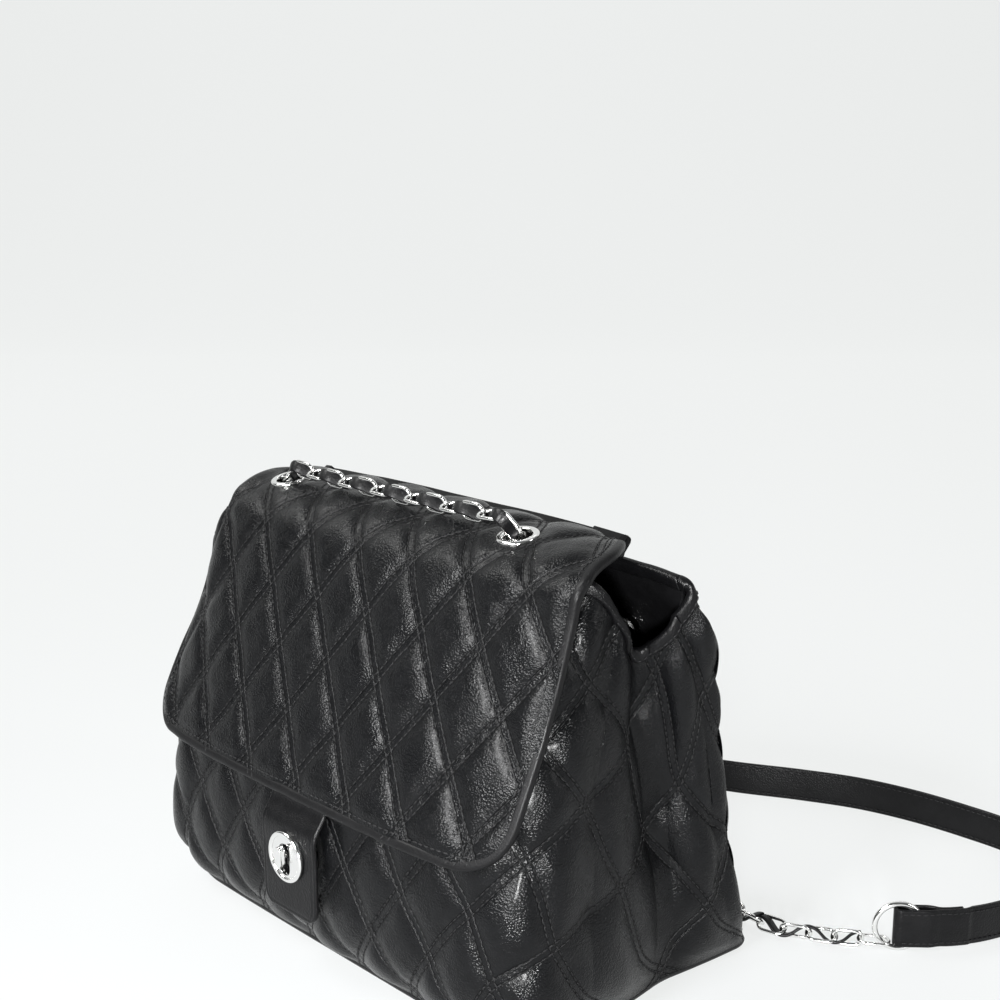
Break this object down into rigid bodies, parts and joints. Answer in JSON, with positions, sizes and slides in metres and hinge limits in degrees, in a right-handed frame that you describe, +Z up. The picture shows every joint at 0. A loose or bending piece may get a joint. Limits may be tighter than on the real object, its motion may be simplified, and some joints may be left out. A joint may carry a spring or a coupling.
{
  "type": "crossbody bag",
  "caption": "Quilted crossbody bag with a turn-lock flap, laced chain run through eyelets, and a flat shoulder strap joined by rings.",
  "frame": {"origin": "centre of the flat base on the floor, under the middle of the bag's width", "axes": "+Z up, the front with the lock faces -Y, +X to the right as seen from behind the camera's side of the front"},
  "size_m": [0.4283, 0.369, 0.2275],
  "materials": {
    "leather": "soft satin black",
    "lining": "matte black",
    "silver": "polished silver",
    "board": "matte grey"
  },
  "bodies": {
    "bag_body": {"back_panel": "leather", "back_top_binding": "leather", "base_board": "board", "bottom_panel": "leather", "chain_back_left": "silver", "chain_back_right": "silver", "chain_lace_right": "leather", "chain_link_left_01": "silver", "chain_link_left_02": "silver", "chain_link_left_03": "silver", "chain_link_left_04": "silver", "chain_link_left_05": "silver", "chain_link_right_01": "silver", "chain_link_right_02": "silver", "chain_link_right_03": "silver", "chain_link_right_04": "silver", "chain_link_right_05": "silver", "eyelet_back_left": "silver", "eyelet_back_right": "silver", "eyelet_washer_back_left": "silver", "eyelet_washer_back_right": "silver", "front_panel": "leather", "front_top_binding": "leather", "left_gusset": "leather", "left_gusset_binding": "leather", "lining": "lining", "lock_base": "silver", "lock_washer": "silver", "right_gusset": "leather", "right_gusset_binding": "leather", "shoulder_strap": "leather", "strap_ring_left": "silver", "strap_ring_right": "silver"},
    "flap_crown": {"chain_lace_top": "leather", "chain_link_top_01": "silver", "chain_link_top_02": "silver", "chain_link_top_03": "silver", "chain_link_top_04": "silver", "chain_link_top_05": "silver", "chain_link_top_06": "silver", "chain_link_top_07": "silver", "chain_link_top_08": "silver", "chain_link_top_09": "silver", "chain_link_top_10": "silver", "chain_link_top_11": "silver", "chain_link_top_12": "silver", "chain_link_top_13": "silver", "chain_link_top_14": "silver", "eyelet_flap_left": "silver", "eyelet_flap_right": "silver", "eyelet_washer_flap_left": "silver", "eyelet_washer_flap_right": "silver", "flap_top": "leather"},
    "flap_drop": {"flap_front": "leather", "flap_lining": "lining", "flap_binding": "leather", "flap_tab": "leather", "lock_frame": "silver", "lock_frame_back": "silver"},
    "knob": {"turn_knob": "silver"}
  },
  "joints": [
    {"name": "flap_lift", "type": "hinge", "parent": "bag_body", "child": "flap_crown", "pos_m": [0, 0.00863, 0.2105], "axis": [-1, 0, 0], "range_deg": [0, 88]},
    {"name": "flap_fold", "type": "hinge", "parent": "flap_crown", "child": "flap_drop", "pos_m": [0, -0.04467, 0.212], "axis": [-1, 0, 0], "range_deg": [0, 110]},
    {"name": "knob_turn", "type": "hinge", "parent": "bag_body", "child": "knob", "pos_m": [0, -0.1012, 0.0605], "axis": [0, -1, 0], "range_deg": [0, 90]}
  ],
  "couplings": [
    {"joint": "flap_fold", "follows": "flap_lift", "ratio": 1.25}
  ]
}
